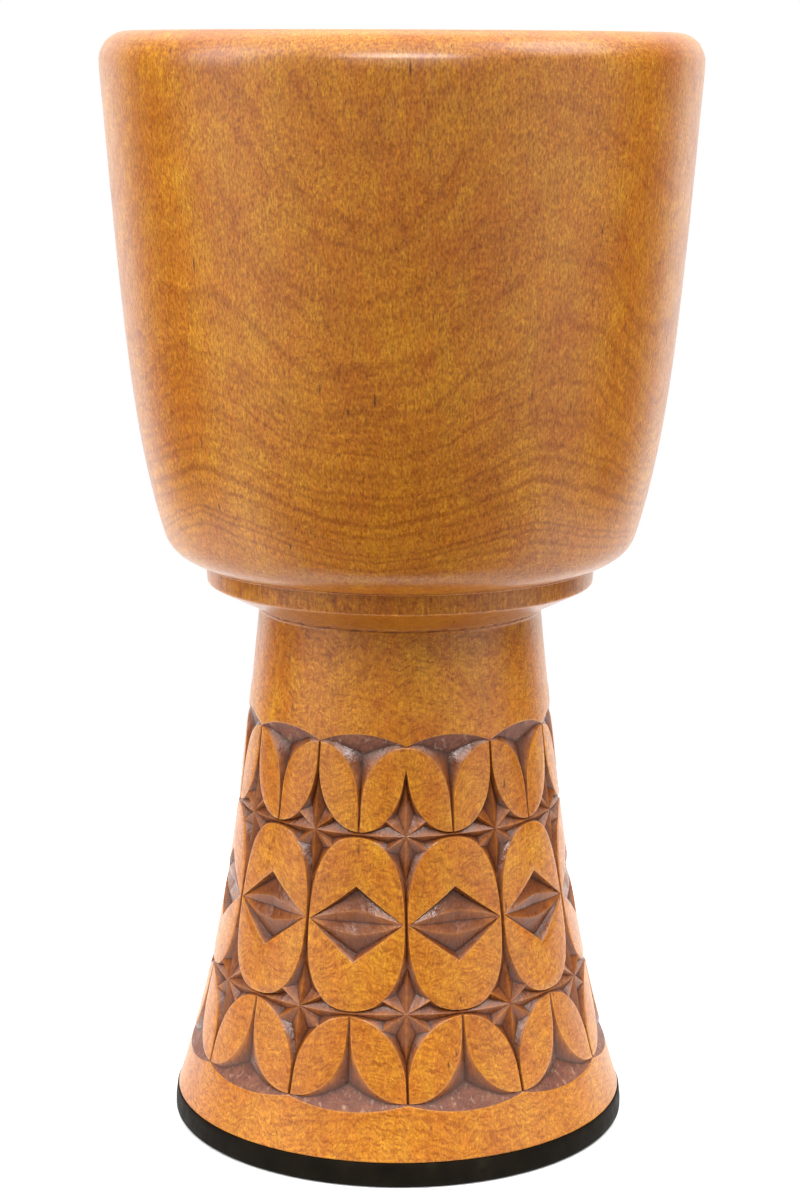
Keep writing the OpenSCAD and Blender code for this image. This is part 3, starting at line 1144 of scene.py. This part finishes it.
def make_ring():
    """The rubber ring: a turned band whose flat underside has a round recess for each tack."""
    build = Builder()
    columns = 24
    ends = 8
    step = 360 / TACKS / columns
    turns = [step * i for i in range(TACKS * columns)]
    profiles = [ring_side(turn) for turn in turns]
    rows = []
    for level in zip(*profiles):
        rows.append([build.add(around(r, turn, z)) for turn, (r, z) in zip(turns, level)])
    build.grid(rows, closed=True)
    low_r = FOOT_HOLLOW_R + 0.5
    high_r = RING_R - RING_ROUND
    recess = TACK_HEAD_R + TACK_GAP
    head_top = TACK_RECESS + TACK_HEAD_H
    for i in range(TACKS):
        start = i * 360 / TACKS
        middle = start + 180 / TACKS
        outline = [(high_r, start + step * k) for k in range(columns)]
        outline += [(high_r + (low_r - high_r) * k / ends, start + 360 / TACKS) for k in range(ends)]
        outline += [(low_r, start + 360 / TACKS - step * k) for k in range(columns)]
        outline += [(low_r + (high_r - low_r) * k / ends, start) for k in range(ends)]
        centre = around(TACK_CIRCLE_R, middle, 0)
        outward = around(1, middle, 0)
        along = around(1, middle + 90, 0)
        total = len(outline)
        levels = ((recess + 0.5, 0), (recess, 0.4), (recess, head_top), (0.5, head_top))
        circles = [[] for _ in levels]
        for k in range(total):
            t = 2 * math.pi * (k - columns / 2) / total
            spoke = outward * math.cos(t) + along * math.sin(t)
            for circle, (radius, z) in zip(circles, levels):
                circle.append(build.add(centre + spoke * radius + Vector((0, 0, z * MM))))
        border = [build.add(around(r, turn, 0)) for r, turn in outline]
        build.grid([border, *circles], closed=True)
        build.face(circles[3])
    ring = make_mesh(build, "rubber_foot_ring", 35)
    ring.data.materials.append(rubber_material())
    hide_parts("foot_rubber_ring")
    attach(ring, "root")


def make_tacks():
    """Ten steel tacks with domed heads, driven up through the ring into the wood."""
    build = Builder()
    steps = 24
    head_top = TACK_RECESS + TACK_HEAD_H
    dome = [(0.35, 0.01), (1.6, 0.08), (2.8, 0.3), (3.6, 0.65)]
    dome += [(TACK_HEAD_R - 0.05, 1.05), (TACK_HEAD_R, 1.25)]
    profile = [(r, TACK_RECESS + rise) for r, rise in dome]
    profile += [(TACK_HEAD_R - 0.1, head_top), (TACK_SHANK_R + 0.3, head_top)]
    profile += [(TACK_SHANK_R, head_top + 0.4)]
    profile += [(TACK_SHANK_R, head_top + TACK_LENGTH - TACK_POINT), (0.2, head_top + TACK_LENGTH)]
    for i in range(TACKS):
        centre = around(TACK_CIRCLE_R, (i + 0.5) * 360 / TACKS, 0)
        rows = []
        for r, z in profile:
            rows.append([build.add(centre + around(r, 360 * k / steps, z)) for k in range(steps)])
        build.grid(rows, closed=True)
        for end_row in (rows[0], rows[-1]):
            build.face(end_row)
    tacks = make_mesh(build, "steel_tacks", 40)
    tacks.data.materials.append(steel_material())
    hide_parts("ring_tacks")
    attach(tacks, "root")


def make_stage():
    """A white table, which ends a little in front of the drum, so that the drum reflects a dim room."""
    floor = bpy.data.objects.new("table", bpy.data.meshes.new("table"))
    corners = [(-0.8, -0.3, 0), (0.8, -0.3, 0), (0.8, 0.75, 0), (-0.8, 0.75, 0)]
    floor.data.from_pydata(corners, [], [(0, 1, 2, 3)])
    floor.data.materials.append(floor_material())
    bpy.context.scene.collection.objects.link(floor)


def area_light(name, place, target, size, power):
    """A soft rectangular light, unseen by the camera, that points at its target."""
    data = bpy.data.lights.new(name, "AREA")
    data.shape = "RECTANGLE"
    data.size, data.size_y = size
    data.energy = power
    lamp = bpy.data.objects.new(name, data)
    lamp.location = place
    lamp.rotation_euler = (Vector(target) - Vector(place)).to_track_quat("-Z", "Y").to_euler()
    lamp.visible_camera = False
    bpy.context.scene.collection.objects.link(lamp)
    return lamp


def make_world():
    """A white tent, open to a dim room in front: bright at the sides and behind, and pale to look at."""
    world = bpy.data.worlds.new("light_tent")
    n = Nodes(world)
    bpy.context.scene.world = world
    direction = n.split(n.add("ShaderNodeTexCoord").outputs["Generated"])
    behind = n.spread(direction["Y"], -1.0, 1.0)
    walls = n.ramp(behind, [(p, (v / TENT_FULL,) * 3) for p, v in TENT_WALLS])
    roof = n.ramp(direction["Z"], [(p, (v / TENT_FULL,) * 3) for p, v in TENT_ROOF])
    high = n.spread(direction["Z"], 0.2, 0.8)
    glow = n.blend(high, walls, roof)
    below = n.spread(direction["Z"], -0.5, -0.3, 0.1, 1.0)
    strength = n.times(n.times(glow, TENT_FULL), below)
    light = n.tree.nodes["Background"]
    n.join(strength, light.inputs["Strength"])
    plain = n.add("ShaderNodeBackground")
    seen = n.add("ShaderNodeMixShader")
    n.join(n.add("ShaderNodeLightPath").outputs["Is Camera Ray"], seen.inputs[0])
    n.join(light.outputs[0], seen.inputs[1])
    n.join(plain.outputs[0], seen.inputs[2])
    n.join(seen.outputs[0], n.tree.nodes["World Output"].inputs["Surface"])
    light.inputs["Color"].default_value = (1, 1, 1, 1)
    plain.inputs["Color"].default_value = (1, 1, 1, 1)


def make_lights():
    make_world()
    middle = (0.0, 0.0, 0.35)
    area_light("left_softbox", (-1.15, -0.5, 1.05), middle, (0.7, 0.9), LEFT_POWER)
    area_light("right_softbox", (0.95, -0.35, 1.5), middle, (0.8, 0.8), RIGHT_POWER)
    # A strip overhead in front, which shows only as glints on the rim and in the cuts
    strip = area_light("top_strip", (0.0, -0.95, 0.92), (0.0, -0.1, 0.2), (0.6, 0.25), TOP_POWER)
    strip.visible_diffuse = False


def make_camera():
    """The viewing angle: level with the rim, tipped down towards the foot, and turned a very little."""
    data = bpy.data.cameras.new("camera")
    data.sensor_fit = "HORIZONTAL"
    data.sensor_width = 36.0
    data.lens = 122.4
    camera = bpy.data.objects.new("camera", data)
    camera.location = (0.0, -1.476, 0.5879)
    tip = Matrix.Rotation(math.radians(90 - 11.33), 3, "X")
    camera.rotation_euler = (tip @ Matrix.Rotation(math.radians(0.22), 3, "Z")).to_euler()
    bpy.context.scene.collection.objects.link(camera)
    bpy.context.scene.camera = camera


def main():
    # noise_vector takes its offsets from this seed, and from the clock without it
    noise.seed_set(HAND_SEED)
    make_shell()
    make_ring()
    make_tacks()
    make_stage()
    make_lights()
    make_camera()
    bpy.context.scene.view_settings.view_transform = "Standard"


main()
